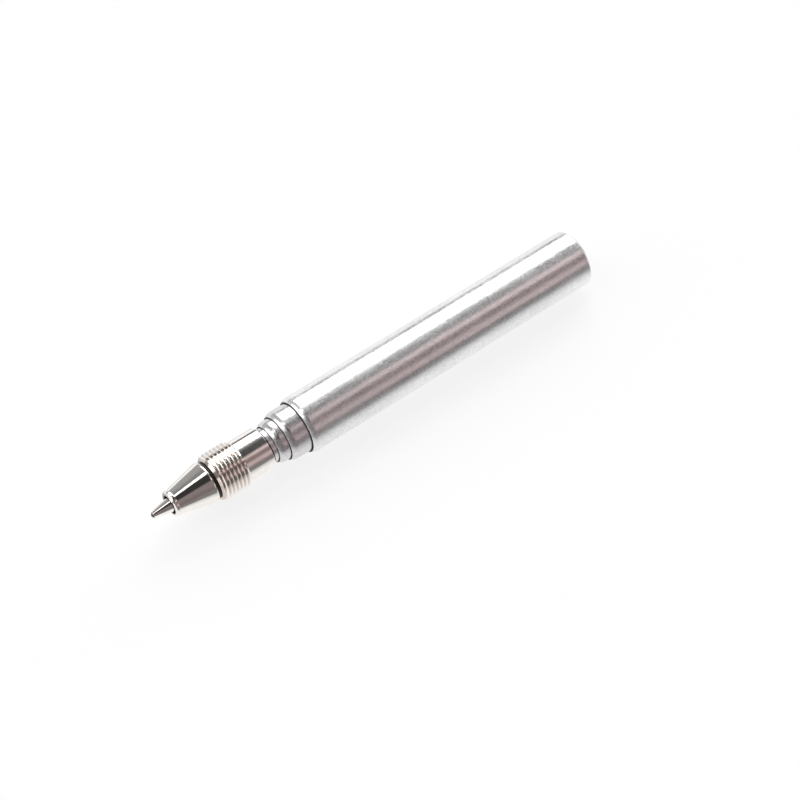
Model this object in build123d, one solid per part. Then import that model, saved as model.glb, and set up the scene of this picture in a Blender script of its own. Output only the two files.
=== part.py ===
"""Telescopic pocket pen: four nested steel tubes, a screw-on nib end and a ballpoint refill.

Millimetres. The pen lies along X with its point towards -X and its closed end towards +X.
The origin is below the middle of the pushed-in pen, on the surface it lies on. +Z is up.
Every piece is turned about the pen's axis: a half section is drawn with x along the pen and
y as the radius, then revolved. Radii are worked out from the refill outwards.
"""

import math
import os

from build123d import *

# Refill and the tubes round it, in radii and walls
REFILL_DIAMETER = 2.35
REFILL_GAP = 0.125          # radial room round the refill
HOLDER_WALL = 0.55          # wall of the nib holder's spigot
TUBE_WALL = 0.30
SLIDE_GAP = 0.15            # radial room between a bore and the next tube

# Lengths along the pushed-in pen, from the point to the closed end
POINT_SHOWN = 2.42          # writing ball to nose rim
NOSE_LENGTH = 5.18
SEAL_THICKNESS = 0.27
THREAD_LENGTH = 3.80
SHANK_LENGTH = 3.58
INNER_SHOWN = 0.57
THIRD_SHOWN = 1.35
SECOND_SHOWN = 2.53
OUTER_TUBE_LENGTH = 40.10
PLUG_FLANGE = 0.60

# Rolled-in tube mouths
MOUTH_LENGTH = 0.85         # axial length of the rounded shoulder
MOUTH_DROP = 0.32           # how far the shoulder comes in
LIP_GAP = 0.06              # running clearance of the lip on the next tube
LIP_LENGTH = 0.55
THROAT_LENGTH = 0.30        # cone from the lip to the full bore

# Rear ends of the sliding tubes, with their friction sleeves
FLARE_LENGTH = 0.80
FLARE_GAP = 0.04            # clearance of the flare in the bore
SLEEVE_LENGTH = 9.00
SLEEVE_THICKNESS = 0.18
SLEEVE_GAP = 0.02           # radial clearance inside and outside a sleeve
SLEEVE_END_GAP = 0.02
SLEEVE_SLOT = 0.90          # width of the slot that lets a sleeve spring
STOP_GAP = 0.05             # room left at each end stop

# Closed end
PLUG_SPIGOT = 2.50
PLUG_CHAMFER = 0.30
PLUG_FLANGE_STEP = 0.02     # flange this much below the tube's surface

# Nib holder with the cap thread, drawn at the thread's major diameter
SHANK_STEP = 0.425          # shank this much above the inner tube's surface
SHANK_CHAMFER = 0.25        # bevel of the shank's rear edge
THREAD_DEPTH = 0.35         # thread crests above the shank
THREAD_CHAMFER = 0.45       # bevel at the front of the thread
HOLDER_SPIGOT = 6.00

# Nose cone and its seal
NOSE_SPIGOT = 3.00
NOSE_SPIGOT_WALL = 0.30
NOSE_SPIGOT_GAP = 0.02
NOSE_BEAD_LENGTH = 0.50     # round-edged bead at the front of the nose
NOSE_BEAD_STEP = 0.05       # step from the bead down to the cone
NOSE_RIM_WALL = 0.54
NOSE_RIM_RADIUS = 0.28
NOSE_BASE_CHAMFER = 0.25
SEAL_STEP = 0.30            # seal set back from the shank's surface

# Refill details
REFILL_SHOULDER = 0.095     # ledge that holds the refill in the nose
POINT_GAP = 0.22            # dark ring between the point and the nose rim
POINT_COLLAR = 0.80
POINT_SPIGOT = 2.50
INK_TUBE_WALL = 0.15
INK_GAP = 0.01
INK_AIR = 7.00              # empty end of the ink tube, behind the ink
BALL_DIAMETER = 0.60
BALL_SHOWN = 0.18           # how far the ball stands out of its socket
BALL_GAP = 0.012
SOCKET_LIP = 0.08           # wall of the crimped lip round the ball
FEED_DIAMETER = 0.36        # ink passage to the ball
REFILL_STOP_LENGTH = 3.00

# Radii, from the refill outwards
refill_r = REFILL_DIAMETER / 2
holder_bore_r = refill_r + REFILL_GAP
inner_bore_r = holder_bore_r + HOLDER_WALL
inner_r = inner_bore_r + TUBE_WALL
third_bore_r = inner_r + SLIDE_GAP
third_r = third_bore_r + TUBE_WALL
second_bore_r = third_r + SLIDE_GAP
second_r = second_bore_r + TUBE_WALL
outer_bore_r = second_r + SLIDE_GAP
outer_r = outer_bore_r + TUBE_WALL
shank_r = inner_r + SHANK_STEP
thread_r = shank_r + THREAD_DEPTH
nose_spigot_r = holder_bore_r + NOSE_SPIGOT_WALL
nose_opening_r = refill_r - REFILL_SHOULDER
nose_rim_r = nose_opening_r + NOSE_RIM_WALL
ball_r = BALL_DIAMETER / 2

# Stations along X, from the point to the closed end
shown_lengths = (POINT_SHOWN, NOSE_LENGTH, SEAL_THICKNESS, THREAD_LENGTH, SHANK_LENGTH,
                 INNER_SHOWN, THIRD_SHOWN, SECOND_SHOWN, OUTER_TUBE_LENGTH, PLUG_FLANGE)
overall_length = sum(shown_lengths)
point_x = -overall_length / 2
rim_x = point_x + POINT_SHOWN
nose_base_x = rim_x + NOSE_LENGTH
thread_front_x = nose_base_x + SEAL_THICKNESS
thread_back_x = thread_front_x + THREAD_LENGTH
inner_front_x = thread_back_x + SHANK_LENGTH
third_front_x = inner_front_x + INNER_SHOWN
second_front_x = third_front_x + THIRD_SHOWN
outer_front_x = second_front_x + SECOND_SHOWN
outer_back_x = outer_front_x + OUTER_TUBE_LENGTH
end_x = outer_back_x + PLUG_FLANGE
plug_face_x = outer_back_x - PLUG_SPIGOT
tubes_back_x = plug_face_x - STOP_GAP
flare_front_x = tubes_back_x - FLARE_LENGTH
sleeve_back_x = flare_front_x - SLEEVE_END_GAP
sleeve_front_x = sleeve_back_x - SLEEVE_LENGTH
neck_front_x = sleeve_front_x - SLEEVE_END_GAP
refill_stop_x = tubes_back_x - REFILL_STOP_LENGTH
axis_z = outer_r


def turned(*edges):
    """Solid of revolution about the pen's axis from the edges of a closed half section."""
    half_section = make_face(Wire(ShapeList(edges).edges()))
    return Pos(0, 0, axis_z) * revolve(half_section, Axis.X)


def turned_points(*points):
    """Turned solid whose half section has straight sides only."""
    return turned(Polyline(*points, close=True))


def mouth_stop_x(front_x):
    """Where a tube's rolled mouth has opened to the full bore."""
    return front_x + max(MOUTH_LENGTH, LIP_LENGTH + THROAT_LENGTH)


def travel(front_x):
    """How far the tube inside slides out before its sleeve meets the mouth at front_x."""
    return sleeve_front_x - mouth_stop_x(front_x) - STOP_GAP


def sleeve_radii(bore_r):
    """Inner and outer radius of the friction sleeve that runs in a bore."""
    sleeve_r = bore_r - SLEEVE_GAP
    return sleeve_r - SLEEVE_THICKNESS, sleeve_r


def mouth_shoulder(front_x, tube_r):
    """Rounded shoulder from a mouth's rim to the tube, running into it smoothly."""
    shoulder_r = (MOUTH_LENGTH**2 + MOUTH_DROP**2) / (2 * MOUTH_DROP)
    half_turn = math.asin(MOUTH_LENGTH / shoulder_r) / 2
    shoulder_x = front_x + MOUTH_LENGTH
    middle_x = shoulder_x - shoulder_r * math.sin(half_turn)
    middle_r = tube_r - shoulder_r * (1 - math.cos(half_turn))
    return ThreePointArc((front_x, tube_r - MOUTH_DROP), (middle_x, middle_r), (shoulder_x, tube_r))


def rolled_mouth(front_x, tube_r, next_r):
    """Half-section edges of a rolled mouth, from the bore round the lip to the tube's surface."""
    bore_r = tube_r - TUBE_WALL
    lip_r = next_r + LIP_GAP
    lip_x = front_x + LIP_LENGTH
    inside = Polyline((lip_x + THROAT_LENGTH, bore_r), (lip_x, lip_r), (front_x, lip_r),
                      (front_x, tube_r - MOUTH_DROP))
    return inside, mouth_shoulder(front_x, tube_r)


def necked_end(start, tube_r, outside_bore_r, finish):
    """Half-section edges of a sliding tube's rear: neck for the sleeve, then the flared stop."""
    neck_r = sleeve_radii(outside_bore_r)[0] - SLEEVE_GAP
    flare_r = outside_bore_r - FLARE_GAP
    return Polyline(start, (neck_front_x, tube_r), (neck_front_x, neck_r), (flare_front_x, neck_r),
                    (flare_front_x, flare_r), (tubes_back_x, flare_r), finish)


def make_outer_tube():
    """Satin grip tube with a rolled mouth and a plain rear end."""
    mouth_bore_x = outer_front_x + LIP_LENGTH + THROAT_LENGTH
    back = Polyline((outer_front_x + MOUTH_LENGTH, outer_r), (outer_back_x, outer_r),
                    (outer_back_x, outer_bore_r), (mouth_bore_x, outer_bore_r))
    return turned(*rolled_mouth(outer_front_x, outer_r, second_r), back)


def make_sliding_tube(front_x, tube_r, next_r, outside_bore_r):
    """Middle tube: rolled mouth in front, neck and flare behind."""
    bore_r = tube_r - TUBE_WALL
    mouth_bore_x = front_x + LIP_LENGTH + THROAT_LENGTH
    outside = necked_end((front_x + MOUTH_LENGTH, tube_r), tube_r, outside_bore_r, (tubes_back_x, bore_r))
    bore = Line((tubes_back_x, bore_r), (mouth_bore_x, bore_r))
    return turned(*rolled_mouth(front_x, tube_r, next_r), outside, bore)


def make_inner_tube():
    """Innermost tube, square in front where it butts against the nib holder's shank."""
    front = Polyline((tubes_back_x, inner_bore_r), (inner_front_x, inner_bore_r), (inner_front_x, inner_r))
    outside = necked_end((inner_front_x, inner_r), inner_r, third_bore_r, (tubes_back_x, inner_bore_r))
    return turned(front, outside)


def make_friction_sleeve(bore_r):
    """Springy split sleeve that grips between a tube's neck and the bore it slides in."""
    inside_r, outside_r = sleeve_radii(bore_r)
    sleeve = turned_points((sleeve_front_x, inside_r), (sleeve_front_x, outside_r),
                           (sleeve_back_x, outside_r), (sleeve_back_x, inside_r))
    middle_x = (sleeve_front_x + sleeve_back_x) / 2
    slot = Box(2 * SLEEVE_LENGTH, SLEEVE_SLOT, outside_r, align=(Align.CENTER, Align.CENTER, Align.MIN))
    return sleeve - Pos(middle_x, 0, axis_z) * slot


def make_end_plug():
    """Plug pressed into the rear of the outer tube, with a bevelled flange as its closed end."""
    flange_r = outer_r - PLUG_FLANGE_STEP
    return turned_points(
        (end_x, 0),
        (plug_face_x, 0),
        (plug_face_x, outer_bore_r),
        (outer_back_x, outer_bore_r),
        (outer_back_x, flange_r),
        (end_x - PLUG_CHAMFER, flange_r),
        (end_x, flange_r - PLUG_CHAMFER),
    )


def make_nib_holder():
    """Plated holder: cap-thread collar, plain shank, and the spigot pressed into the inner tube."""
    socket_r = nose_spigot_r + NOSE_SPIGOT_GAP
    socket_x = nose_base_x + NOSE_SPIGOT + STOP_GAP
    spigot_x = inner_front_x + HOLDER_SPIGOT
    return turned_points(
        (thread_front_x, socket_r),
        (thread_front_x, thread_r - THREAD_CHAMFER),
        (thread_front_x + THREAD_CHAMFER, thread_r),
        (thread_back_x - THREAD_DEPTH, thread_r),
        (thread_back_x, shank_r),
        (inner_front_x - SHANK_CHAMFER, shank_r),
        (inner_front_x, shank_r - SHANK_CHAMFER),
        (inner_front_x, inner_bore_r),
        (spigot_x, inner_bore_r),
        (spigot_x, holder_bore_r),
        (socket_x, holder_bore_r),
        (socket_x, socket_r),
    )


def make_nose_seal():
    """Black ring clamped between the nose cone and the thread collar."""
    seal_r = shank_r - SEAL_STEP
    bore_r = nose_spigot_r + NOSE_SPIGOT_GAP
    return turned_points((nose_base_x, bore_r), (nose_base_x, seal_r),
                         (thread_front_x, seal_r), (thread_front_x, bore_r))


def make_nose_cone():
    """Plated cone with a round-edged bead in front and a spigot that screws into the holder."""
    edge = min(NOSE_RIM_RADIUS, NOSE_RIM_WALL, NOSE_BEAD_LENGTH)
    bead_x = rim_x + NOSE_BEAD_LENGTH
    shoulder_x = rim_x + POINT_COLLAR
    spigot_x = nose_base_x + NOSE_SPIGOT
    corner = RadiusArc((rim_x, nose_rim_r - edge), (rim_x + edge, nose_rim_r), edge)
    sides = Polyline(
        corner @ 1,
        (bead_x, nose_rim_r),
        (bead_x + NOSE_BEAD_STEP, nose_rim_r - NOSE_BEAD_STEP),
        (nose_base_x - NOSE_BASE_CHAMFER, shank_r),
        (nose_base_x, shank_r - NOSE_BASE_CHAMFER),
        (nose_base_x, nose_spigot_r),
        (spigot_x, nose_spigot_r),
        (spigot_x, holder_bore_r),
        (shoulder_x, holder_bore_r),
        (shoulder_x, nose_opening_r),
        (rim_x, nose_opening_r),
        corner @ 0,
    )
    return turned(corner, sides)


def make_refill_point():
    """Turned writing point: crimped ball socket, cone, collar held by the nose, spigot in the ink tube."""
    socket_r = ball_r + BALL_GAP
    ball_x = point_x + ball_r
    lip_x = point_x + BALL_SHOWN
    lip_r = math.sqrt(socket_r**2 - (ball_x - lip_x) ** 2)
    feed_r = FEED_DIAMETER / 2
    feed_x = ball_x + math.sqrt(socket_r**2 - feed_r**2)
    collar_x = rim_x + POINT_COLLAR
    tube_x = collar_x + POINT_COLLAR
    spigot_x = tube_x + POINT_SPIGOT
    base_r = nose_opening_r - POINT_GAP
    socket = ThreePointArc((lip_x, lip_r), (ball_x, socket_r), (feed_x, feed_r))
    sides = Polyline(
        socket @ 1,
        (spigot_x, feed_r),
        (spigot_x, refill_r - INK_TUBE_WALL),
        (tube_x, refill_r - INK_TUBE_WALL),
        (tube_x, refill_r),
        (collar_x, refill_r),
        (collar_x, base_r),
        (rim_x, base_r),
        (lip_x, lip_r + SOCKET_LIP),
        socket @ 0,
    )
    return turned(socket, sides)


def make_writing_ball():
    """Free-rolling ball at the very front of the point."""
    return Pos(point_x + ball_r, 0, axis_z) * Sphere(ball_r)


def make_ink_tube():
    """Plain tube of the refill, from the point's collar to the refill stop."""
    front_x = rim_x + 2 * POINT_COLLAR
    bore_r = refill_r - INK_TUBE_WALL
    return turned_points((front_x, bore_r), (front_x, refill_r),
                         (refill_stop_x, refill_r), (refill_stop_x, bore_r))


def make_ink():
    """Column of ink behind the point."""
    front_x = rim_x + 2 * POINT_COLLAR + POINT_SPIGOT
    back_x = refill_stop_x - INK_AIR
    ink_r = refill_r - INK_TUBE_WALL - INK_GAP
    return turned_points((front_x, 0), (front_x, ink_r), (back_x, ink_r), (back_x, 0))


def make_refill_stop():
    """Plug pressed into the rear of the inner tube; the refill's end rests on it."""
    return turned_points((refill_stop_x, 0), (refill_stop_x, inner_bore_r),
                         (tubes_back_x, inner_bore_r), (tubes_back_x, 0))


pieces = {
    "outer_tube": make_outer_tube(),
    "end_plug": make_end_plug(),
    "second_friction_sleeve": make_friction_sleeve(outer_bore_r),
    "second_tube": make_sliding_tube(second_front_x, second_r, third_r, outer_bore_r),
    "third_friction_sleeve": make_friction_sleeve(second_bore_r),
    "third_tube": make_sliding_tube(third_front_x, third_r, inner_r, second_bore_r),
    "inner_friction_sleeve": make_friction_sleeve(third_bore_r),
    "inner_tube": make_inner_tube(),
    "nib_holder": make_nib_holder(),
    "nose_seal": make_nose_seal(),
    "nose_cone": make_nose_cone(),
    "refill_point": make_refill_point(),
    "writing_ball": make_writing_ball(),
    "ink_tube": make_ink_tube(),
    "ink": make_ink(),
    "refill_stop": make_refill_stop(),
}

os.makedirs("parts", exist_ok=True)
for name, piece in pieces.items():
    export_step(piece, f"parts/{name}.step")

print(f"overall length pushed in {overall_length:.3f}")
for name, front_x in (("second", outer_front_x), ("third", second_front_x), ("inner", third_front_x)):
    print(f"{name} tube slides out {travel(front_x):.3f}")
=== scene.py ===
"""Looks of a telescopic pocket pen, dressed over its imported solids.

Metres, in the frame's axes: the pen lies along X with its point towards -X, and +Z is up.
Sections are drawn in millimetres, with x along the pen and r as the radius, and turned about its axis.
"""

import math

import bpy
import numpy as np
from mathutils import Matrix, Vector


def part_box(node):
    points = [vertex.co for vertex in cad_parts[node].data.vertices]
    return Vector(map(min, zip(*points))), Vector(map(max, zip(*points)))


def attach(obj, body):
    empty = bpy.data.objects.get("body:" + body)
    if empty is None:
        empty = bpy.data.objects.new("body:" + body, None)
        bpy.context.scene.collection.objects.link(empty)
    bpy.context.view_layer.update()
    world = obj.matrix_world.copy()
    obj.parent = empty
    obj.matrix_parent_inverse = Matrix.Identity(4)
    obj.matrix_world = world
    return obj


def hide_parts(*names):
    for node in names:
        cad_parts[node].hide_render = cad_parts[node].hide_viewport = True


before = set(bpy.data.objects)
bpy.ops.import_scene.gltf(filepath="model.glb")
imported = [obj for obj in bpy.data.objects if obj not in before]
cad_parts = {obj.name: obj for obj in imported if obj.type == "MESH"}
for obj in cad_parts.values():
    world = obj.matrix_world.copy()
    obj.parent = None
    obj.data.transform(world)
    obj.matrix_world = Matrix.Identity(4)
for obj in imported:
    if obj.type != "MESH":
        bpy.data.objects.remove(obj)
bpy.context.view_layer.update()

MM = 0.001

# Walls, clearances, lengths and bevels of the solids
TUBE_WALL = 0.30
SLIDE_GAP = 0.15
LIP_GAP = 0.06
LIP_LENGTH = 0.55
THROAT_LENGTH = 0.30
MOUTH_LENGTH = 0.85
MOUTH_DROP = 0.32
SLEEVE_THICKNESS = 0.18
SLEEVE_GAP = 0.02
REFILL_GAP = 0.125
PLUG_CHAMFER = 0.30
SHANK_LENGTH = 3.58
SHANK_CHAMFER = 0.25
THREAD_CHAMFER = 0.45
NOSE_SPIGOT_WALL = 0.30
NOSE_SPIGOT_GAP = 0.02
NOSE_SOCKET_GAP = 0.05
NOSE_BEAD_LENGTH = 0.50
NOSE_BEAD_STEP = 0.05
NOSE_RIM_WALL = 0.54
NOSE_RIM_RADIUS = 0.28
NOSE_BASE_CHAMFER = 0.25
REFILL_SHOULDER = 0.095
POINT_GAP = 0.22
POINT_COLLAR = 0.80
INK_TUBE_WALL = 0.15
SOCKET_LIP = 0.08
BALL_GAP = 0.012
FEED_RADIUS = 0.18

# Cap thread
THREAD_PITCH = 0.50
THREAD_GROOVE = 0.31
THREAD_SAMPLES = 20         # rings of points along one pitch
THREAD_RUNOUT = 0.015       # softness where the ridges run out into the bevels

# Broken edges of the metal
SHARP = 0.01
EDGE = 0.03
SOFT_EDGE = 0.06
ROUND_EDGE = 0.30
OUTER_RIM = 0.10            # bands of painted shade, near black, at the ends of the rolled mouths
SECOND_RIM = 0.04
THIRD_RIM = 0.02
OPENING_BEVEL = 0.10        # countersink of the nose opening, painted with shade, near black, like the opening behind it

# Points round a turned piece, and turn of a rounded corner from one point to the next
SEGMENTS = 144
SMALL_CORNER = 0.10         # below this radius a corner takes the longer steps
SMALL_CORNER_STEP = math.radians(30)
CORNER_STEP = math.radians(8)
ROUND_OFF = 1e-6            # keeps a whole number of steps from being rounded up
SOCKET_CORNERS = 9          # along the ball's socket, from its lip to the feed hole
BALL_RINGS = 33
BALL_POLE = math.radians(1)     # from the ball's axis to its first ring


def size(node):
    """Front station, rear station and largest radius of a node, in millimetres."""
    low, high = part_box(node)
    return low.x / MM, high.x / MM, (high.y - low.y) / 2 / MM


outer_front, outer_back, outer_r = size("outer_tube")
second_front, tubes_back, second_flare_r = size("second_tube")
third_front, _, third_flare_r = size("third_tube")
inner_front, _, inner_flare_r = size("inner_tube")
holder_front, holder_back, thread_r = size("nib_holder")
nose_base, _, seal_r = size("nose_seal")
rim_x, nose_back, shank_r = size("nose_cone")
lip_x, point_back, refill_r = size("refill_point")
ball_front, _, ball_r = size("writing_ball")
plug_face, end_x, flange_r = size("end_plug")
sleeve_front, sleeve_back, second_sleeve_r = size("second_friction_sleeve")
third_sleeve_r = size("third_friction_sleeve")[2]
inner_sleeve_r = size("inner_friction_sleeve")[2]
axis_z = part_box("outer_tube")[0].z / MM + outer_r

second_r = outer_r - TUBE_WALL - SLIDE_GAP
third_r = second_r - TUBE_WALL - SLIDE_GAP
inner_r = third_r - TUBE_WALL - SLIDE_GAP
outer_bore_r = outer_r - TUBE_WALL
inner_bore_r = inner_r - TUBE_WALL
holder_bore_r = refill_r + REFILL_GAP
nose_spigot_r = holder_bore_r + NOSE_SPIGOT_WALL
nose_opening_r = refill_r - REFILL_SHOULDER
nose_rim_r = nose_opening_r + NOSE_RIM_WALL
thread_back = inner_front - SHANK_LENGTH


# Turned pieces

AROUND = np.linspace(0, 2 * math.pi, SEGMENTS, endpoint=False)
COS, SIN = np.cos(AROUND), np.sin(AROUND)


def rounded(corners, closed=True):
    """Half section from corners (x, r, corner radius), as rows of x, r and the outward normal.

    The corners run so that the metal is on the left. The ends of an open section stay as they are.
    """
    rows = []
    count = len(corners)
    for i, (x, r, radius) in enumerate(corners):
        here = np.array((x, r))
        before = here - np.array(corners[i - 1][:2])
        after = np.array(corners[(i + 1) % count][:2]) - here
        if not closed and i == 0:
            before = after
        if not closed and i == count - 1:
            after = before
        before = before / np.hypot(*before)
        after = after / np.hypot(*after)
        turn = math.atan2(before[0] * after[1] - before[1] * after[0], before @ after)
        side = math.copysign(1, turn)
        start = math.atan2(-before[0], before[1])
        step = SMALL_CORNER_STEP if radius < SMALL_CORNER else CORNER_STEP
        steps = math.ceil(abs(turn) / step - ROUND_OFF)
        first = here - radius * math.tan(abs(turn) / 2) * before
        centre = first - side * radius * np.array((math.cos(start), math.sin(start)))
        for k in range(steps + 1):
            angle = start + turn * k / max(steps, 1)
            normal = np.array((math.cos(angle), math.sin(angle)))
            rows.append((*(centre + side * radius * normal), *normal))
    return np.array(rows)


def spun(rows):
    """Rings of x, r and normals from the rows of a half section."""
    x, r, normal_x, normal_r = (np.repeat(column[:, None], SEGMENTS, axis=1) for column in rows.T)
    return x, r, np.stack([normal_x, normal_r * COS, normal_r * SIN], axis=-1)


def ring_mesh(name, x, r, normals, solid=False):
    """Mesh object from rings of points: x, r and normals have a row for each ring.

    The rings close on themselves, or, in a solid piece, on flat ends at the axis.
    """
    points = (np.stack([x, r * COS, axis_z + r * SIN], axis=-1) * MM).reshape(-1, 3)
    normals = normals.reshape(-1, 3)
    index = np.arange(len(points)).reshape(-1, SEGMENTS)
    here, there = (index[:-1], index[1:]) if solid else (index, np.roll(index, -1, axis=0))
    corners = np.stack([here, there, np.roll(there, -1, 1), np.roll(here, -1, 1)], axis=-1)
    faces = corners.reshape(-1, 4).tolist()
    if solid:
        poles = [(x[0, 0] * MM, 0, axis_z * MM), (x[-1, 0] * MM, 0, axis_z * MM)]
        first, last = len(points), len(points) + 1
        faces += [(first, a, b) for a, b in zip(index[0], np.roll(index[0], -1))]
        faces += [(a, last, b) for a, b in zip(index[-1], np.roll(index[-1], -1))]
        points = np.vstack([points, poles])
        normals = np.vstack([normals, normals[:1], normals[-1:]])
    mesh = bpy.data.meshes.new(name)
    mesh.from_pydata(points.tolist(), [], faces)
    mesh.shade_smooth()
    mesh.normals_split_custom_set_from_vertices(normals.tolist())
    piece = bpy.data.objects.new(name, mesh)
    bpy.context.scene.collection.objects.link(piece)
    return piece


def turned(name, rows, solid=False):
    """Mesh object turned from the rows of a half section, which is open in a solid piece."""
    return ring_mesh(name, *spun(rows), solid)


def dress(piece, material, body, node):
    """Gives a piece its material and slot and the body that it rides on, and hides the node that it stands
    for.
    """
    piece.data.materials.append(material)
    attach(piece, body)
    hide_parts(node)


def mouth(front, tube_r, next_r, rim):
    """Corners of a rolled mouth, from the tube's surface over the rim and the lip into the bore."""
    slope = 2 * math.atan(MOUTH_DROP / MOUTH_LENGTH)
    shoulder_x = front + MOUTH_DROP / math.tan(slope)
    straight = MOUTH_DROP / math.sin(slope) - rim
    shoulder_radius = straight / math.tan(slope / 2)
    bore_r = tube_r - TUBE_WALL
    lip_r = next_r + LIP_GAP
    return [
        (shoulder_x, tube_r, shoulder_radius),
        (front, tube_r - MOUTH_DROP, EDGE),
        (front, lip_r, EDGE),
        (front + LIP_LENGTH, lip_r, EDGE),
        (front + LIP_LENGTH + THROAT_LENGTH, bore_r, EDGE),
    ]


def necked_rear(tube_r, flare_r, sleeve_r):
    """Corners of a sliding tube's rear, from the bore round the flare and the neck to its surface."""
    bore_r = tube_r - TUBE_WALL
    neck_r = sleeve_r - SLEEVE_THICKNESS - SLEEVE_GAP
    neck_front = sleeve_front - SLEEVE_GAP
    flare_front = sleeve_back + SLEEVE_GAP
    return [
        (tubes_back, bore_r, EDGE),
        (tubes_back, flare_r, SOFT_EDGE),
        (flare_front, flare_r, EDGE),
        (flare_front, neck_r, SHARP),
        (neck_front, neck_r, SHARP),
        (neck_front, tube_r, EDGE),
    ]


def outer_tube_rows():
    """Grip tube: rolled mouth in front, plain rear end."""
    rear = [(outer_back, outer_bore_r, EDGE), (outer_back, outer_r, SOFT_EDGE)]
    return rounded(rear + mouth(outer_front, outer_r, second_r, OUTER_RIM))


def second_tube_rows():
    """Larger middle tube: rolled mouth in front, neck and flare behind."""
    rear = necked_rear(second_r, second_flare_r, second_sleeve_r)
    return rounded(rear + mouth(second_front, second_r, third_r, SECOND_RIM))


def third_tube_rows():
    """Smaller middle tube, made the same way."""
    rear = necked_rear(third_r, third_flare_r, third_sleeve_r)
    return rounded(rear + mouth(third_front, third_r, inner_r, THIRD_RIM))


def inner_tube_rows():
    """Innermost tube, square in front where it butts against the shank."""
    front = [(inner_front, inner_r, EDGE), (inner_front, inner_bore_r, EDGE)]
    return rounded(necked_rear(inner_r, inner_flare_r, inner_sleeve_r) + front)


def end_plug_rows():
    """Plug with a bevelled flange, solid to its axis."""
    return rounded([
        (end_x, flange_r / 2, 0),
        (end_x, flange_r - PLUG_CHAMFER, SOFT_EDGE),
        (end_x - PLUG_CHAMFER, flange_r, SOFT_EDGE),
        (outer_back, flange_r, EDGE),
        (outer_back, outer_bore_r, SHARP),
        (plug_face, outer_bore_r, EDGE),
        (plug_face, outer_bore_r / 2, 0),
    ], closed=False)


def nose_seal_rows():
    """Moulded ring with a rounded outside."""
    bore_r = nose_spigot_r + NOSE_SPIGOT_GAP
    return rounded([
        (nose_base, bore_r, SHARP),
        (holder_front, bore_r, SHARP),
        (holder_front, seal_r, SOFT_EDGE),
        (nose_base, seal_r, SOFT_EDGE),
    ])


def nose_cone_rows():
    """Plated cone with a countersunk opening and a round bead in front and a spigot behind."""
    bead_x = rim_x + NOSE_BEAD_LENGTH
    shoulder_x = rim_x + POINT_COLLAR
    return rounded([
        (rim_x, nose_opening_r + OPENING_BEVEL, SHARP),
        (rim_x + OPENING_BEVEL, nose_opening_r, SHARP),
        (shoulder_x, nose_opening_r, SHARP),
        (shoulder_x, holder_bore_r, SHARP),
        (nose_back, holder_bore_r, EDGE),
        (nose_back, nose_spigot_r, EDGE),
        (nose_base, nose_spigot_r, SHARP),
        (nose_base, shank_r - NOSE_BASE_CHAMFER, EDGE),
        (nose_base - NOSE_BASE_CHAMFER, shank_r, ROUND_EDGE),
        (bead_x + NOSE_BEAD_STEP, nose_rim_r - NOSE_BEAD_STEP, SHARP),
        (bead_x, nose_rim_r, EDGE),
        (rim_x, nose_rim_r, NOSE_RIM_RADIUS),
    ])


def refill_point_rows():
    """Turned point: crimped lip and round socket of the ball, cone, collar and spigot."""
    socket_r = ball_r + BALL_GAP
    ball_x = ball_front + ball_r
    lip_angle = math.acos((ball_x - lip_x) / socket_r)
    lip_r = socket_r * math.sin(lip_angle)
    feed_angle = math.pi - math.asin(FEED_RADIUS / socket_r)
    angles = np.linspace(lip_angle, feed_angle, SOCKET_CORNERS)
    collar_x = rim_x + POINT_COLLAR
    tube_x = collar_x + POINT_COLLAR
    base_r = nose_opening_r - POINT_GAP
    socket = [(ball_x - socket_r * math.cos(a), socket_r * math.sin(a), SHARP) for a in angles]
    return rounded(socket + [
        (point_back, FEED_RADIUS, SHARP),
        (point_back, refill_r - INK_TUBE_WALL, EDGE),
        (tube_x, refill_r - INK_TUBE_WALL, SHARP),
        (tube_x, refill_r, EDGE),
        (collar_x, refill_r, EDGE),
        (collar_x, base_r, SHARP),
        (rim_x, base_r, EDGE),
        (lip_x, lip_r + SOCKET_LIP, EDGE),
    ])


def writing_ball_rows():
    """Ground ball, from pole to pole."""
    angle = np.linspace(BALL_POLE, math.pi - BALL_POLE, BALL_RINGS)
    normals = np.stack([np.cos(angle), np.sin(angle)], axis=1)
    return np.hstack([(ball_front + ball_r, 0) + ball_r * normals, normals])


def thread_radius(x, angle):
    """Radius of the threaded collar: ridges that wind left-handed, cut by the bevels at both ends."""
    turns = x / THREAD_PITCH + angle / (2 * math.pi)
    rise = np.abs(2 * (turns % 1) - 1)
    ridge = thread_r - THREAD_GROOVE * (1 - rise**2 * (3 - 2 * rise))
    front = thread_r - THREAD_CHAMFER + (x - holder_front)
    back = shank_r + (thread_back - x)
    return -THREAD_RUNOUT * np.log(sum(np.exp(-edge / THREAD_RUNOUT) for edge in (ridge, front, back)))


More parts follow.
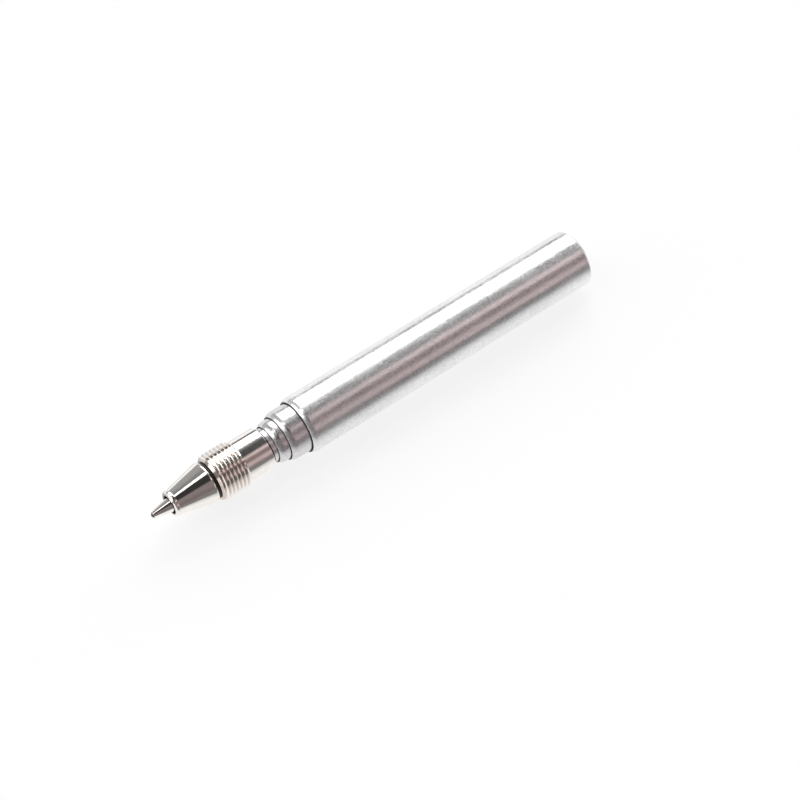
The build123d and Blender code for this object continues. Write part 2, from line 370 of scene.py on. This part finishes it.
def make_nib_holder():
    """Plated holder: threaded collar, plain shank and the spigot in the inner tube."""
    socket_r = nose_spigot_r + NOSE_SPIGOT_GAP
    socket_x = nose_back + NOSE_SOCKET_GAP
    plain_x, plain_r, plain_normals = spun(rounded([
        (holder_front, thread_r - THREAD_CHAMFER - EDGE, SHARP),
        (holder_front, socket_r, EDGE),
        (socket_x, socket_r, SHARP),
        (socket_x, holder_bore_r, SHARP),
        (holder_back, holder_bore_r, EDGE),
        (holder_back, inner_bore_r, SOFT_EDGE),
        (inner_front, inner_bore_r, SHARP),
        (inner_front, shank_r - SHANK_CHAMFER, SOFT_EDGE),
        (inner_front - SHANK_CHAMFER, shank_r, SOFT_EDGE),
        (thread_back + EDGE, shank_r, SHARP),
    ], closed=False))
    rings = round((thread_back - holder_front) / THREAD_PITCH * THREAD_SAMPLES)
    x = np.linspace(thread_back, holder_front, rings)[:, None] + np.zeros(SEGMENTS)
    r = thread_radius(x, AROUND)
    nudge = 1e-4
    along = (thread_radius(x + nudge, AROUND) - thread_radius(x - nudge, AROUND)) / (2 * nudge)
    around = (thread_radius(x, AROUND + nudge) - thread_radius(x, AROUND - nudge)) / (2 * nudge) / r
    normals = np.stack([-along, COS + around * SIN, SIN - around * COS], axis=-1)
    normals /= np.linalg.norm(normals, axis=-1, keepdims=True)
    return ring_mesh(
        "nib_holder_threaded",
        np.vstack([plain_x, x]),
        np.vstack([plain_r, r]),
        np.concatenate([plain_normals, normals]),
    )


# Materials: patches of the finishes along x, y and z and heights of their relief, in millimetres
SATIN_GRAIN = (0.30, 0.16, 0.16)
SATIN_SPECKS = (0.07, 0.05, 0.05)
DRAW_LINES = (3.0, 0.05, 0.05)
HANDLING_MARKS = (4.0, 1.5, 1.5)
SATIN_RELIEF = 0.007
TURNING_LINES = (0.05, 6.0, 6.0)
PLATING_WAVES = (0.3, 0.3, 0.3)
PLATING_MARKS = (0.9, 0.9, 0.9)
PLATING_RELIEF = 0.003
RUBBER_BLOOM = (0.12, 0.12, 0.12)
RUBBER_RELIEF = 0.004
METAL_STAIN = (1.2, 1.2, 1.2)
METAL_RELIEF = 0.001
PLASTIC_CLOUD = (0.6, 0.6, 0.6)
PLASTIC_RELIEF = 0.003

# Shares of the patches in colour, roughness and relief, and the range of noise that they spread over
NOISE_RANGE = (0.3, 0.7)
GRAIN_RANGE = (0.35, 0.65)
SPECK_RANGE = (0.44, 0.60)
GRAIN_SHADE = 0.6
MARKS_SHADE = 0.4
MARKS_ROUGHNESS = 0.05
DRAW_LINES_SHARE = 0.5
TURNING_LINES_SHARE = 0.1

SATIN_ROUGHNESS = (0.14, 0.45)
PLATING_ROUGHNESS = (0.04, 0.09)
RUBBER_ROUGHNESS = (0.45, 0.65)
PLATING_COLOURS = (0.82, 0.785, 0.75), (0.88, 0.845, 0.81)
# colour that paints shade into the roots of the cap thread
ROOT_SHADE_PLATING = (0.58, 0.51, 0.46)
RUBBER_COLOURS = (0.008, 0.008, 0.008), (0.022, 0.021, 0.020)


def new_material(name):
    """Material with one Principled shader; returns the material, its node tree and the shader."""
    material = bpy.data.materials.new(name)
    material.use_nodes = True
    tree = material.node_tree
    return material, tree, tree.nodes["Principled BSDF"]


def noise(tree, patch_mm, detail):
    """Noise over the piece: patch_mm is the size of its patches along x, y and z."""
    place = tree.nodes.new("ShaderNodeTexCoord")
    mapping = tree.nodes.new("ShaderNodeMapping")
    mapping.inputs["Scale"].default_value = [1 / (s * MM) for s in patch_mm]
    texture = tree.nodes.new("ShaderNodeTexNoise")
    texture.inputs["Scale"].default_value = 1.0
    texture.inputs["Detail"].default_value = detail
    tree.links.new(place.outputs["Object"], mapping.inputs["Vector"])
    tree.links.new(mapping.outputs["Vector"], texture.inputs["Vector"])
    return texture.outputs["Fac"]


def spread(tree, value, low, high, limits=NOISE_RANGE):
    """Runs from low to high as a value goes from one limit to the other, and no further."""
    node = tree.nodes.new("ShaderNodeMapRange")
    node.inputs["From Min"].default_value, node.inputs["From Max"].default_value = limits
    node.inputs["To Min"].default_value = low
    node.inputs["To Max"].default_value = high
    tree.links.new(value, node.inputs["Value"])
    return node.outputs["Result"]


def combine(tree, operation, first, second):
    """Math node on two values, either of which may be a plain number."""
    node = tree.nodes.new("ShaderNodeMath")
    node.operation = operation
    for socket, value in zip(node.inputs, (first, second)):
        if isinstance(value, (int, float)):
            socket.default_value = value
        else:
            tree.links.new(value, socket)
    return node.outputs[0]


def mixed(tree, value, first, second):
    """Colour that runs from the first to the second with a value; each is plain or comes from a node."""
    node = tree.nodes.new("ShaderNodeMix")
    node.data_type = "RGBA"
    for socket, colour in ((node.inputs["A"], first), (node.inputs["B"], second)):
        if isinstance(colour, tuple):
            socket.default_value = (*colour, 1)
        else:
            tree.links.new(colour, socket)
    tree.links.new(value, node.inputs["Factor"])
    return node.outputs["Result"]


def tint(tree, shader, value, dark, light):
    """Base colour that runs from dark to light with a value."""
    colour = mixed(tree, value, dark, light)
    tree.links.new(colour, shader.inputs["Base Color"])
    return colour


def bump(tree, shader, value, height_mm):
    """Fine relief of the surface, height_mm high."""
    node = tree.nodes.new("ShaderNodeBump")
    node.inputs["Strength"].default_value = 1.0
    node.inputs["Distance"].default_value = height_mm * MM
    tree.links.new(value, node.inputs["Height"])
    tree.links.new(node.outputs["Normal"], shader.inputs["Normal"])


def satin_steel(name, dark, light):
    """Drawn tube with a fine satin grain of dull specks, lengthwise draw lines and faint handling marks."""
    material, tree, shader = new_material(name)
    shader.inputs["Metallic"].default_value = 1.0
    grain = noise(tree, SATIN_GRAIN, detail=1.0)
    specks = noise(tree, SATIN_SPECKS, detail=1.0)
    drawn = noise(tree, DRAW_LINES, detail=2.0)
    marks = noise(tree, HANDLING_MARKS, detail=3.0)
    marks_shade = spread(tree, marks, 0.0, MARKS_SHADE)
    grain_shade = spread(tree, grain, 0.0, GRAIN_SHADE, GRAIN_RANGE)
    tint(tree, shader, combine(tree, "ADD", marks_shade, grain_shade), dark, light)
    specks_rough = spread(tree, specks, *SATIN_ROUGHNESS, SPECK_RANGE)
    marks_rough = spread(tree, marks, 0.0, MARKS_ROUGHNESS)
    tree.links.new(combine(tree, "ADD", specks_rough, marks_rough), shader.inputs["Roughness"])
    lines = combine(tree, "MULTIPLY", drawn, DRAW_LINES_SHARE)
    bump(tree, shader, combine(tree, "ADD", grain, lines), SATIN_RELIEF)
    return material


def polished_nickel(name, root_shade_mask=None):
    """Bright plating over fine turning lines, duller where handled, with painted shade where a mask for it
    is given.
    """
    material, tree, shader = new_material(name)
    shader.inputs["Metallic"].default_value = 1.0
    turning = noise(tree, TURNING_LINES, detail=2.0)
    waves = noise(tree, PLATING_WAVES, detail=1.0)
    marks = noise(tree, PLATING_MARKS, detail=3.0)
    plating = tint(tree, shader, spread(tree, marks, 0, 1), *PLATING_COLOURS)
    if root_shade_mask:
        tree.links.new(mixed(tree, root_shade_mask(tree), plating, ROOT_SHADE_PLATING), shader.inputs["Base Color"])
    tree.links.new(spread(tree, marks, *PLATING_ROUGHNESS), shader.inputs["Roughness"])
    lines = combine(tree, "MULTIPLY", turning, TURNING_LINES_SHARE)
    bump(tree, shader, combine(tree, "ADD", waves, lines), PLATING_RELIEF)
    return material


def thread_roots(tree):
    """Mask of the painted shade in the cap thread: 1 in its roots, 0 on its crests and on the shank."""
    place = tree.nodes.new("ShaderNodeTexCoord")
    split = tree.nodes.new("ShaderNodeSeparateXYZ")
    tree.links.new(place.outputs["Object"], split.inputs[0])
    height = combine(tree, "SUBTRACT", split.outputs["Z"], axis_z * MM)
    height_squared = combine(tree, "MULTIPLY", height, height)
    across_squared = combine(tree, "MULTIPLY", split.outputs["Y"], split.outputs["Y"])
    radius = combine(tree, "SQRT", combine(tree, "ADD", across_squared, height_squared), 0.0)
    root_r = thread_r - THREAD_GROOVE
    depth = spread(tree, radius, 1, 0, (root_r * MM, (root_r + THREAD_GROOVE / 2) * MM))
    collar_end = ((thread_back - THREAD_PITCH) * MM, thread_back * MM)
    collar = spread(tree, split.outputs["X"], 1, 0, collar_end)
    return combine(tree, "MULTIPLY", depth, collar)


def black_rubber(name):
    """Matte moulded ring with a faint bloom."""
    material, tree, shader = new_material(name)
    bloom = noise(tree, RUBBER_BLOOM, detail=3.0)
    tint(tree, shader, bloom, *RUBBER_COLOURS)
    tree.links.new(spread(tree, bloom, *RUBBER_ROUGHNESS), shader.inputs["Roughness"])
    bump(tree, shader, bloom, RUBBER_RELIEF)
    return material


def plain_metal(name, dark, light, roughness, lines_mm):
    """Bare metal with drawing lines and stain."""
    material, tree, shader = new_material(name)
    shader.inputs["Metallic"].default_value = 1.0
    stain = noise(tree, METAL_STAIN, detail=3.0)
    lines = noise(tree, lines_mm, detail=2.0)
    tint(tree, shader, spread(tree, stain, 0, 1), dark, light)
    tree.links.new(spread(tree, stain, *roughness), shader.inputs["Roughness"])
    bump(tree, shader, lines, METAL_RELIEF)
    return material


def plain_plastic(name, dark, light, roughness):
    """Moulded, poured or painted piece with a slight unevenness."""
    material, tree, shader = new_material(name)
    cloud = noise(tree, PLASTIC_CLOUD, detail=3.0)
    tint(tree, shader, cloud, dark, light)
    tree.links.new(spread(tree, cloud, *roughness), shader.inputs["Roughness"])
    bump(tree, shader, cloud, PLASTIC_RELIEF)
    return material


steel = satin_steel("satin_steel_grip", dark=(0.68, 0.68, 0.685), light=(0.90, 0.90, 0.905))
# The same satin steel made darker for the tubes that slide inside the grip: painted shade
shaded_inner_steel = satin_steel("satin_steel_inner_shaded", dark=(0.58, 0.57, 0.58), light=(0.78, 0.77, 0.78))
nickel = polished_nickel("polished_nickel_plate")
holder_nickel = polished_nickel("polished_nickel_holder", root_shade_mask=thread_roots)
rubber = black_rubber("black_rubber_ring")
# Near-black colour that paints the shade in the gaps at the rolled mouths and in the nose opening
painted_gap_shade = plain_plastic(
    "gap_shade_paint",
    dark=(0.004, 0.004, 0.004),
    light=(0.016, 0.015, 0.015),
    roughness=(0.5, 0.7),
)
bronze = plain_metal(
    "spring_bronze_sheet",
    dark=(0.58, 0.36, 0.19),
    light=(0.74, 0.50, 0.29),
    roughness=(0.25, 0.4),
    lines_mm=(2.0, 0.08, 0.08),
)
brass = plain_metal(
    "refill_brass_tube",
    dark=(0.66, 0.47, 0.20),
    light=(0.80, 0.62, 0.32),
    roughness=(0.18, 0.3),
    lines_mm=(3.0, 0.06, 0.06),
)
carbide = plain_metal(
    "carbide_ball",
    dark=(0.05, 0.05, 0.055),
    light=(0.16, 0.16, 0.17),
    roughness=(0.15, 0.3),
    lines_mm=(0.05, 0.05, 0.05),
)
ink = plain_plastic(
    "ink_paste",
    dark=(0.004, 0.004, 0.012),
    light=(0.012, 0.012, 0.03),
    roughness=(0.08, 0.2),
)
nylon = plain_plastic(
    "stop_nylon",
    dark=(0.66, 0.65, 0.61),
    light=(0.76, 0.75, 0.71),
    roughness=(0.4, 0.55),
)


def paint_gap_shade(piece, start, end, largest_r):
    """Paints near-black shade on the faces of a dressed piece that lie between two stations, up to a
    radius.
    """
    piece.data.materials.append(painted_gap_shade)
    for face in piece.data.polygons:
        x, y, z = face.center / MM
        inside = start < x < end and math.hypot(y, z - axis_z) < largest_r
        face.material_index = int(inside)


dress(turned("end_plug_satin", end_plug_rows(), solid=True), steel, "grip", "end_plug")
outer_tube = turned("outer_tube_satin", outer_tube_rows())
second_tube = turned("second_tube_satin", second_tube_rows())
third_tube = turned("third_tube_satin", third_tube_rows())
nose_cone = turned("nose_cone_plated", nose_cone_rows())
refill_point = turned("refill_point_turned", refill_point_rows())
dress(outer_tube, steel, "grip", "outer_tube")
dress(second_tube, shaded_inner_steel, "second_section", "second_tube")
dress(third_tube, shaded_inner_steel, "third_section", "third_tube")
dress(turned("inner_tube_satin", inner_tube_rows()), shaded_inner_steel, "nib_section", "inner_tube")
dress(make_nib_holder(), holder_nickel, "nib_section", "nib_holder")
dress(turned("nose_seal_ring", nose_seal_rows()), rubber, "nib_section", "nose_seal")
dress(nose_cone, nickel, "nib_section", "nose_cone")
dress(refill_point, nickel, "nib_section", "refill_point")
dress(turned("writing_ball_ground", writing_ball_rows(), solid=True), carbide, "ball", "writing_ball")
# Painted shade in the gaps at the rolled mouths, and in the nose opening round the point
paint_gap_shade(outer_tube, outer_front - SHARP, outer_front + OUTER_RIM, outer_r)
paint_gap_shade(second_tube, second_front - SHARP, second_front + SECOND_RIM, second_r)
paint_gap_shade(third_tube, third_front - SHARP, third_front + THIRD_RIM, third_r)
paint_gap_shade(nose_cone, rim_x + SHARP, rim_x + POINT_COLLAR + SHARP, nose_opening_r + OPENING_BEVEL)
paint_gap_shade(refill_point, rim_x - SHARP, rim_x + POINT_COLLAR + SHARP, refill_r)

for node, material in (
    ("second_friction_sleeve", bronze),
    ("third_friction_sleeve", bronze),
    ("inner_friction_sleeve", bronze),
    ("ink_tube", brass),
    ("ink", ink),
    ("refill_stop", nylon),
):
    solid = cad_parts[node].data
    solid.materials.clear()
    solid.materials.append(material)


# Floor
FLOOR_SIZE = 3.0
FLOOR_COLOUR = (0.95, 0.95, 0.95, 1)
FLOOR_GLOW = 0.82           # share of the floor that shows as plain white

# Brightness of the floor in the metal, painted into the floor for glossy rays alone, and where it changes,
# in metres of y: a painted reflection, with a painted dark band towards the viewer and a painted shadow at
# the pen's back
FLOOR_MIRRORED = 1.15
FLOOR_PAINTED_DARK = 0.06            # painted dark band towards the viewer
DIM_LIMITS = (-0.022, -0.006)
AHEAD_LIMITS = (-0.027, -0.022)     # of x less y: ahead of the point the floor stays bright
FLOOR_PAINTED_SHADOW = 0.35         # painted shadow of the pen at its back
SHADE_START = (0.0, 0.002)
SHADE_END = (0.004, 0.013)


def painted_floor_reflection(tree):
    """Painted reflection: what the floor gains or loses in brightness where the metal mirrors it, for
    glossy rays.
    """
    place = tree.nodes.new("ShaderNodeNewGeometry")
    split = tree.nodes.new("ShaderNodeSeparateXYZ")
    tree.links.new(place.outputs["Position"], split.inputs[0])
    x, y = split.outputs["X"], split.outputs["Y"]
    plain, dim, painted_shadow = FLOOR_MIRRORED - 1, FLOOR_PAINTED_DARK - 1, FLOOR_PAINTED_SHADOW - 1
    dimmed = spread(tree, y, dim, plain, DIM_LIMITS)
    ahead = spread(tree, combine(tree, "SUBTRACT", x, y), plain, dim, AHEAD_LIMITS)
    before = spread(tree, y, plain, painted_shadow, SHADE_START)
    beyond = spread(tree, y, painted_shadow, plain, SHADE_END)
    near = combine(tree, "MAXIMUM", dimmed, ahead)
    back = combine(tree, "MAXIMUM", before, beyond)
    path = tree.nodes.new("ShaderNodeLightPath")
    return combine(tree, "MULTIPLY", combine(tree, "MINIMUM", near, back), path.outputs["Is Glossy Ray"])


def seen_directly(tree):
    """1 for camera, glossy and transmission rays, else 0."""
    path = tree.nodes.new("ShaderNodeLightPath")
    seen = combine(tree, "MAXIMUM", path.outputs["Is Camera Ray"], path.outputs["Is Glossy Ray"])
    return combine(tree, "MAXIMUM", seen, path.outputs["Is Transmission Ray"])


def make_floor():
    """Large white floor that keeps the pen's shadow."""
    half = FLOOR_SIZE / 2
    corners = [(-half, -half, 0), (half, -half, 0), (half, half, 0), (-half, half, 0)]
    mesh = bpy.data.meshes.new("floor")
    mesh.from_pydata(corners, [], [(0, 1, 2, 3)])
    floor = bpy.data.objects.new("floor", mesh)
    bpy.context.scene.collection.objects.link(floor)
    material = bpy.data.materials.new("floor_white")
    material.use_nodes = True
    tree = material.node_tree
    tree.nodes.clear()
    diffuse = tree.nodes.new("ShaderNodeBsdfDiffuse")
    diffuse.inputs["Color"].default_value = FLOOR_COLOUR
    glow = tree.nodes.new("ShaderNodeEmission")
    mix = tree.nodes.new("ShaderNodeMixShader")
    output = tree.nodes.new("ShaderNodeOutputMaterial")
    tree.links.new(combine(tree, "ADD", painted_floor_reflection(tree), 1.0), glow.inputs["Strength"])
    tree.links.new(combine(tree, "MULTIPLY", seen_directly(tree), FLOOR_GLOW), mix.inputs[0])
    tree.links.new(diffuse.outputs[0], mix.inputs[1])
    tree.links.new(glow.outputs[0], mix.inputs[2])
    tree.links.new(mix.outputs[0], output.inputs["Surface"])
    mesh.materials.append(material)


# Studio round the pen, in slices from ahead of its point to far behind it. Each holds (angle, brightness,
# warmth) by the angle over the pen, from the far horizon (0) over the top (90) to the near horizon (180).
SLICE_FRONT = [
    (0, 0.5, 0), (18, 0.5, 0), (26, 2.3, 0), (60, 2.3, 0), (82, 0.3, 0.2), (138, 0.3, 0.4),
    (150, 1.3, 0), (180, 1.3, 0),
]
SLICE_AHEAD = [
    (0, 0.5, 0), (18, 0.5, 0), (26, 2.3, 0), (92, 2.3, 0), (108, 0.2, 0.2), (165, 0.22, 0.3),
    (180, 0.5, 0),
]
SLICE_OVER = [
    (0, 0.42, 0), (40, 0.38, 0), (56, 0.26, 0), (70, 0.26, 0), (74, 2.6, 0), (82, 2.6, 0),
    (87, 0.04, 0), (120, 0.04, 0), (129, 0.26, 0.6), (145, 0.26, 0.7), (165, 0.19, 0.6), (180, 0.26, 0.5),
]
SLICE_BEHIND = [
    (0, 1.2, 0), (1, 0.3, 0), (18, 0.3, 0), (22, 4.6, 0), (54, 4.6, 0), (62, 0.5, 0),
    (75, 0.16, 0), (85, 0.08, 0), (107, 0.08, 0), (117, 0.62, 0.65), (123, 0.62, 0.75), (131, 0.29, 1),
    (142, 0.27, 1), (155, 0.56, 0.75), (163, 0.52, 0.75), (173, 0.29, 0.8), (180, 0.26, 0.8),
]
SLICE_FAR = [
    (0, 1.2, 0), (1, 0.02, 0), (21, 0.02, 0), (25, 4.6, 0), (63, 4.6, 0), (68, 0.5, 0),
    (75, 0.28, 0), (85, 0.26, 0), (106, 0.34, 0.3), (113, 1.15, 0.6), (121, 1.15, 0.75), (129, 0.23, 1),
    (143, 0.19, 1), (158, 0.78, 0.75), (169, 0.78, 0.75), (176, 0.14, 0.8), (180, 0.10, 0.8),
]
WARM = (1.0, 0.76, 0.76)    # tint at full warmth

# x of the direction where one slice runs over into the next
FRONT_TO_AHEAD = (-0.88, -0.80)
AHEAD_TO_OVER = (-0.44, -0.32)
OVER_TO_BEHIND = (0.12, 0.25)
BEHIND_TO_FAR = (0.30, 0.36)


def brightness_ramp(tree, angle, stops):
    """Brightness along one slice of the studio."""
    ramp = tree.nodes.new("ShaderNodeValToRGB")
    elements = ramp.color_ramp.elements
    while len(elements) < len(stops):
        elements.new(0.5)
    for element, (degrees, level, warmth) in zip(elements, stops):
        element.position = degrees / 180
        element.color = (*(level * (1 - warmth + warmth * part) for part in WARM), 1)
    tree.links.new(angle, ramp.inputs["Fac"])
    return ramp.outputs["Color"]


def blend_slices(tree, where, first, second, limits):
    """Runs softly from one slice of the studio to the next between the limits of x."""
    share = tree.nodes.new("ShaderNodeMapRange")
    share.interpolation_type = "SMOOTHSTEP"
    share.inputs["From Min"].default_value, share.inputs["From Max"].default_value = limits
    tree.links.new(where, share.inputs["Value"])
    return mixed(tree, share.outputs["Result"], first, second)


def make_studio():
    """World with softboxes, a dark ceiling and pale walls; plain white where the camera sees it."""
    world = bpy.data.worlds.new("studio")
    bpy.context.scene.world = world
    world.use_nodes = True
    tree = world.node_tree
    tree.nodes.clear()
    place = tree.nodes.new("ShaderNodeTexCoord")
    split = tree.nodes.new("ShaderNodeSeparateXYZ")
    tree.links.new(place.outputs["Generated"], split.inputs[0])
    height = combine(tree, "MAXIMUM", split.outputs["Z"], 0.0)
    angle = combine(tree, "DIVIDE", combine(tree, "ARCTAN2", height, split.outputs["Y"]), math.pi)
    colour = brightness_ramp(tree, angle, SLICE_FRONT)
    for stops, limits in (
        (SLICE_AHEAD, FRONT_TO_AHEAD),
        (SLICE_OVER, AHEAD_TO_OVER),
        (SLICE_BEHIND, OVER_TO_BEHIND),
        (SLICE_FAR, BEHIND_TO_FAR),
    ):
        following = brightness_ramp(tree, angle, stops)
        colour = blend_slices(tree, split.outputs["X"], colour, following, limits)
    studio = tree.nodes.new("ShaderNodeBackground")
    white = tree.nodes.new("ShaderNodeBackground")
    white.inputs["Color"].default_value = (1, 1, 1, 1)
    path = tree.nodes.new("ShaderNodeLightPath")
    mix = tree.nodes.new("ShaderNodeMixShader")
    output = tree.nodes.new("ShaderNodeOutputWorld")
    tree.links.new(colour, studio.inputs["Color"])
    tree.links.new(path.outputs["Is Camera Ray"], mix.inputs[0])
    tree.links.new(studio.outputs[0], mix.inputs[1])
    tree.links.new(white.outputs[0], mix.inputs[2])
    tree.links.new(mix.outputs[0], output.inputs["Surface"])


# Camera, from the frame's origin: its direction, its distance and its shift across and up, in metres
CAMERA_AZIMUTH = math.radians(-37.4675)
CAMERA_ELEVATION = math.radians(53.9227)
CAMERA_DISTANCE = 0.299666
CAMERA_ACROSS = 0.003376
CAMERA_UP = -0.000002
CAMERA_CLIP = 0.01
LENS = 117                  # millimetres
SENSOR_WIDTH = 36           # millimetres


def make_camera():
    """Camera at the photograph's viewing angle."""
    right = Vector((math.cos(CAMERA_AZIMUTH), math.sin(CAMERA_AZIMUTH), 0))
    back = Vector((
        math.sin(CAMERA_AZIMUTH) * math.cos(CAMERA_ELEVATION),
        -math.cos(CAMERA_AZIMUTH) * math.cos(CAMERA_ELEVATION),
        math.sin(CAMERA_ELEVATION),
    ))
    up = back.cross(right)
    camera = bpy.data.objects.new("camera", bpy.data.cameras.new("camera"))
    camera.data.lens = LENS
    camera.data.sensor_width = SENSOR_WIDTH
    camera.data.clip_start = CAMERA_CLIP
    turn = Matrix((right, up, back)).transposed().to_4x4()
    turn.translation = CAMERA_ACROSS * right + CAMERA_UP * up + CAMERA_DISTANCE * back
    camera.matrix_world = turn
    bpy.context.scene.collection.objects.link(camera)
    bpy.context.scene.camera = camera


make_floor()
make_studio()
make_camera()
bpy.context.scene.view_settings.view_transform = "Standard"
